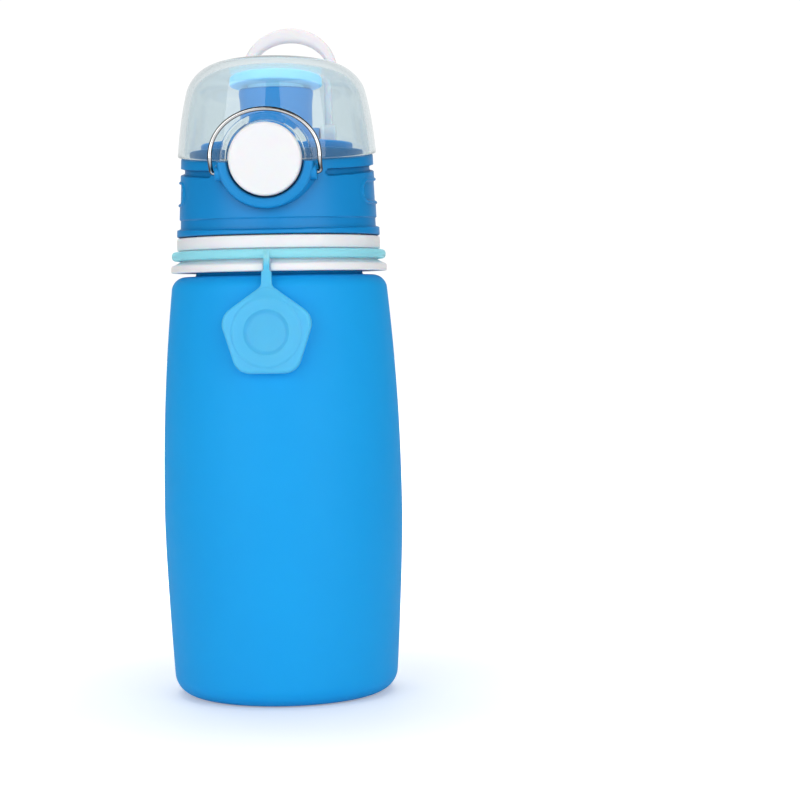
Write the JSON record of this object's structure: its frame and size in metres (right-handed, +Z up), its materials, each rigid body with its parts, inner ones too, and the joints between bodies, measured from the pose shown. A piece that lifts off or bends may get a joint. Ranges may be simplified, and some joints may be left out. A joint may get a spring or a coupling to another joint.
{
  "type": "folding water bottle",
  "caption": "Soft folding bottle with a grooved collar, screw cap, clear flip lid, push button, wire bail, carry loop and strap tab.",
  "frame": {"origin": "centre of the flat face the bottle stands on", "axes": "+Z up along the bottle's axis, -Y towards the front with the button, +X to the right seen from the front"},
  "size_m": [0.0788, 0.092, 0.2255],
  "materials": {
    "body_silicone": "matte",
    "strap_silicone": "satin, translucent",
    "cap_plastic": "satin",
    "white_plastic": "satin",
    "clear_plastic": "polished, clear, lightly smoked",
    "seal_rubber": "matte",
    "steel_wire": "polished"
  },
  "bodies": {
    "root": {"silicone_bottle": "body_silicone"},
    "collar": {"neck_insert": "white_plastic", "collar_ring": "white_plastic", "strap_ring": "strap_silicone"},
    "strap_end": {"strap_tab": "strap_silicone"},
    "cap_seal": {"cap_gasket": "seal_rubber"},
    "cap": {"cap_shell": "cap_plastic", "spout_deck": "cap_plastic", "deck_seal": "seal_rubber", "vent_valve": "seal_rubber", "button_spring": "steel_wire", "hinge_pin": "steel_wire", "lid_spring": "steel_wire"},
    "button": {"push_button": "white_plastic", "latch_hook": "cap_plastic"},
    "bail": {"bail_wire": "steel_wire"},
    "lid": {"lid_cover": "clear_plastic", "spout_plug": "strap_silicone"},
    "handle": {"carry_handle": "white_plastic"}
  },
  "joints": [
    {"name": "bottle_collapse", "type": "slide", "parent": "root", "child": "collar", "axis": [0, 0, -1], "range_m": [0, 0.078], "deforming": ["silicone_bottle"]},
    {"name": "cap_rise", "type": "slide", "parent": "collar", "child": "cap_seal", "axis": [0, 0, 1], "range_m": [0, 0.0051]},
    {"name": "cap_turn", "type": "hinge", "parent": "cap_seal", "child": "cap", "pos_m": [0, 0, 0.16], "axis": [0, 0, 1], "range_deg": [0, 450]},
    {"name": "lid_hinge", "type": "hinge", "parent": "cap", "child": "lid", "pos_m": [0, 0.0395, 0.1853], "axis": [1, 0, 0], "range_deg": [-125, 0], "deforming": ["lid_spring"]},
    {"name": "handle_swing", "type": "hinge", "parent": "lid", "child": "handle", "pos_m": [0, 0.0395, 0.1853], "axis": [-1, 0, 0], "range_deg": [0, 160]},
    {"name": "button_press", "type": "slide", "parent": "cap", "child": "button", "axis": [0, 1, 0], "range_m": [0, 0.002], "stiffness_N_per_m": 900, "springref_m": -0.001, "deforming": ["button_spring"]},
    {"name": "bail_swing", "type": "hinge", "parent": "cap", "child": "bail", "pos_m": [0, -0.0325, 0.17], "axis": [1, 0, 0], "range_deg": [0, 160]},
    {"name": "strap_lift", "type": "hinge", "parent": "collar", "child": "strap_end", "pos_m": [0, -0.0368, 0.1392], "axis": [-1, 0, 0], "range_deg": [0, 120]}
  ],
  "couplings": [
    {"joint": "cap_rise", "follows": "cap_turn", "m_per_rad": 0.00063662}
  ]
}
